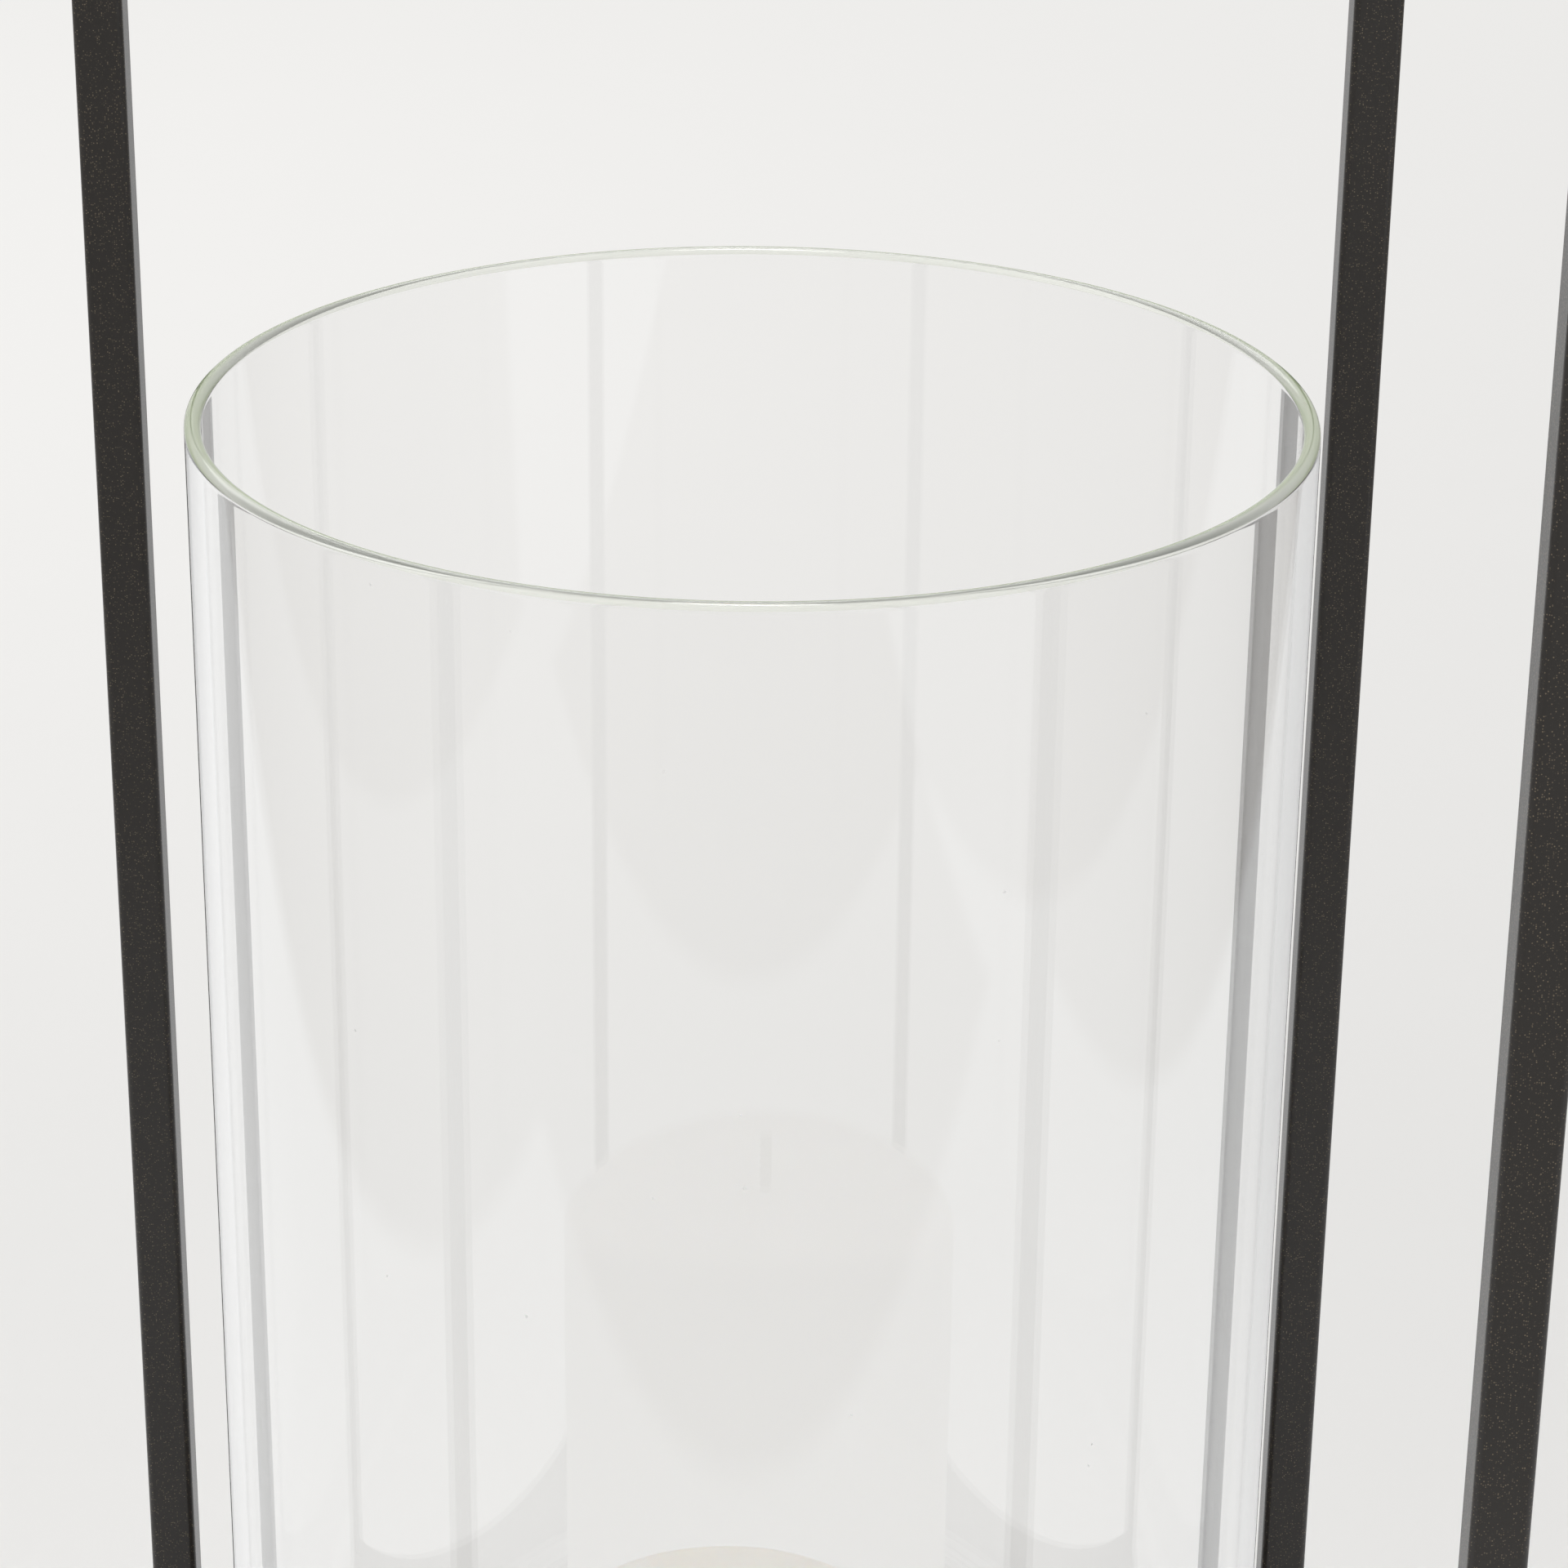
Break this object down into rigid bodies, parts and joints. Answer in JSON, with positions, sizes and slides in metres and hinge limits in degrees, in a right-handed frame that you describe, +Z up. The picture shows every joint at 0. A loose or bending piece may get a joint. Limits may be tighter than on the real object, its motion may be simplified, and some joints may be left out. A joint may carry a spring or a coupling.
{
  "type": "hurricane candle lantern",
  "caption": "Open square-tube lantern frame with a loose clear glass sleeve round a pillar candle and a folding bail handle.",
  "frame": {"origin": "on the floor, under the middle of the square frame", "axes": "+Z up, +X to the right and -Y towards the viewer of the picture"},
  "size_m": [0.2672, 0.264, 0.5765],
  "materials": {
    "charcoal_powder_coat": "matte",
    "clear_glass": "polished",
    "candle_wax": "satin",
    "wick_cotton": "matte",
    "black_plastic": "matte",
    "black_rubber": "matte",
    "clear_silicone": "satin",
    "zinc_plated_steel": "satin"
  },
  "bodies": {
    "frame": {"post_front_left": "charcoal_powder_coat", "post_front_right": "charcoal_powder_coat", "post_back_left": "charcoal_powder_coat", "post_back_right": "charcoal_powder_coat", "top_rail_front": "charcoal_powder_coat", "top_rail_back": "charcoal_powder_coat", "top_rail_left": "charcoal_powder_coat", "top_rail_right": "charcoal_powder_coat", "bottom_rail_front": "charcoal_powder_coat", "bottom_rail_back": "charcoal_powder_coat", "bottom_rail_left": "charcoal_powder_coat", "bottom_rail_right": "charcoal_powder_coat", "post_top_caps": "charcoal_powder_coat", "base_plate": "charcoal_powder_coat", "base_plate_rivets": "charcoal_powder_coat", "glass_seat_ring": "charcoal_powder_coat", "candle_dish": "charcoal_powder_coat", "handle_bracket_left": "charcoal_powder_coat", "handle_bracket_right": "charcoal_powder_coat", "handle_pivot_pins": "charcoal_powder_coat", "post_feet": "black_plastic", "handle_bumpers": "black_rubber", "glass_rest_gasket": "clear_silicone", "candle_spike": "zinc_plated_steel", "candle_spike_washer": "zinc_plated_steel", "candle_spike_nut": "zinc_plated_steel"},
    "glass": {"hurricane_glass": "clear_glass"},
    "candle": {"candle_body": "candle_wax", "candle_wick": "wick_cotton"},
    "handle": {"handle_bail": "charcoal_powder_coat"}
  },
  "joints": [
    {"name": "glass_lift", "type": "slide", "parent": "frame", "child": "glass", "axis": [0, 0, 1], "range_m": [0, 0.56]},
    {"name": "candle_lift", "type": "slide", "parent": "frame", "child": "candle", "axis": [0, 0, 1], "range_m": [0, 0.42]},
    {"name": "handle_swing", "type": "hinge", "parent": "frame", "child": "handle", "pos_m": [0, 0, 0.5685], "axis": [1, 0, 0], "range_deg": [0, 180]}
  ]
}
